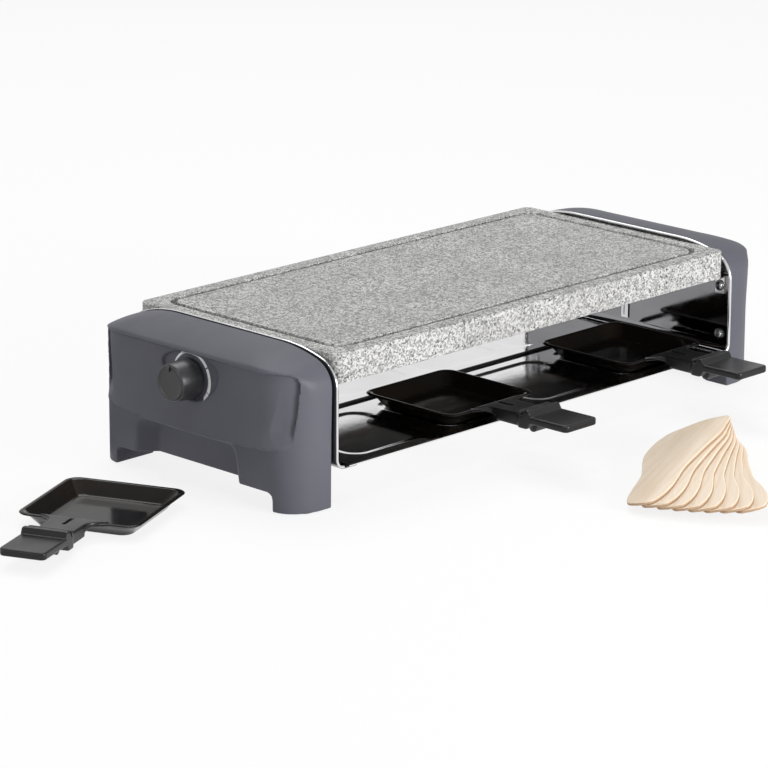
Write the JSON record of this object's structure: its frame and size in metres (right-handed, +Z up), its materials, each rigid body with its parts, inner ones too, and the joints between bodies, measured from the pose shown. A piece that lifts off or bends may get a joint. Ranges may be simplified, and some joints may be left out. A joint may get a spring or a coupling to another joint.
{
  "type": "raclette grill",
  "caption": "Tabletop raclette grill with a grooved granite plate on two moulded end housings, a bright pan tray, black raclette pans and a fan of wooden spatulas.",
  "frame": {"origin": "middle of the whole set's bounding box, on the table", "axes": "+X along the grill from the knob end to the other end, -Y towards the long side that the picture shows, +Z up"},
  "size_m": [0.7432, 0.4544, 0.1162],
  "materials": {
    "housing_plastic": "fine satin moulding grain",
    "bright_steel": "bright rolled sheet steel",
    "mirror_steel": "mirror-bright sheet steel",
    "screw_steel": "bright zinc-plated steel",
    "rubber": "matt",
    "knob_plastic": "satin moulding",
    "ceramic": "unglazed steatite",
    "granite": "polished top, sawn rough sides",
    "element_metal": "oxidised heater sheath",
    "pan_coating": "glossy black non-stick coating",
    "handle_plastic": "satin moulding",
    "spatula_wood": "raw pale wood"
  },
  "bodies": {
    "grill": {"housing_left": "housing_plastic", "liner_left": "bright_steel", "liner_screw_left_back_upper": "screw_steel", "liner_screw_left_back_lower": "screw_steel", "liner_screw_left_front_upper": "screw_steel", "liner_screw_left_front_lower": "screw_steel", "stone_bracket_left_back": "bright_steel", "stone_bracket_left_front": "bright_steel", "foot_pad_left_back": "rubber", "foot_pad_left_front": "rubber", "housing_right": "housing_plastic", "liner_right": "bright_steel", "liner_screw_right_front_upper": "screw_steel", "liner_screw_right_front_lower": "screw_steel", "liner_screw_right_back_upper": "screw_steel", "liner_screw_right_back_lower": "screw_steel", "stone_bracket_right_front": "bright_steel", "stone_bracket_right_back": "bright_steel", "foot_pad_right_front": "rubber", "foot_pad_right_back": "rubber", "thermostat_body": "ceramic", "cord_gland": "rubber", "terminal_block": "ceramic", "element_collar_back": "ceramic", "element_collar_front": "ceramic", "base_tray": "mirror_steel", "heating_element": "element_metal", "heater_end_bracket": "bright_steel"},
    "knob": {"control_knob": "knob_plastic", "thermostat_shaft": "bright_steel"},
    "stone": {"stone_plate": "granite"},
    "pan_2": {"pan_2_dish": "pan_coating", "pan_2_handle": "handle_plastic", "pan_2_screw": "screw_steel"},
    "pan_4": {"pan_4_dish": "pan_coating", "pan_4_handle": "handle_plastic", "pan_4_screw": "screw_steel"},
    "pan_loose": {"pan_loose_dish": "pan_coating", "pan_loose_handle": "handle_plastic", "pan_loose_screw": "screw_steel"},
    "spatulas": {"spatula_1": "spatula_wood", "spatula_2": "spatula_wood", "spatula_3": "spatula_wood", "spatula_4": "spatula_wood", "spatula_5": "spatula_wood", "spatula_6": "spatula_wood", "spatula_7": "spatula_wood", "spatula_8": "spatula_wood"}
  },
  "joints": [
    {"name": "thermostat_turn", "type": "hinge", "parent": "grill", "child": "knob", "pos_m": [-0.15826, 0.11768, 0.084], "axis": [1, 0, 0], "range_deg": [-52, 143]},
    {"name": "pan_2_slide", "type": "slide", "parent": "grill", "child": "pan_2", "axis": [0, -1, 0], "range_m": [0, 0.11]},
    {"name": "pan_4_slide", "type": "slide", "parent": "grill", "child": "pan_4", "axis": [0, -1, 0], "range_m": [0, 0.11]},
    {"name": "stone_lift", "type": "slide", "parent": "grill", "child": "stone", "axis": [0, 0, 1], "range_m": [0, 0.06]},
    {"name": "loose_pan_lift", "type": "slide", "parent": "grill", "child": "pan_loose", "axis": [0, 0, 1], "range_m": [0, 0.05]},
    {"name": "spatulas_lift", "type": "slide", "parent": "grill", "child": "spatulas", "axis": [0, 0, 1], "range_m": [0, 0.05]}
  ]
}
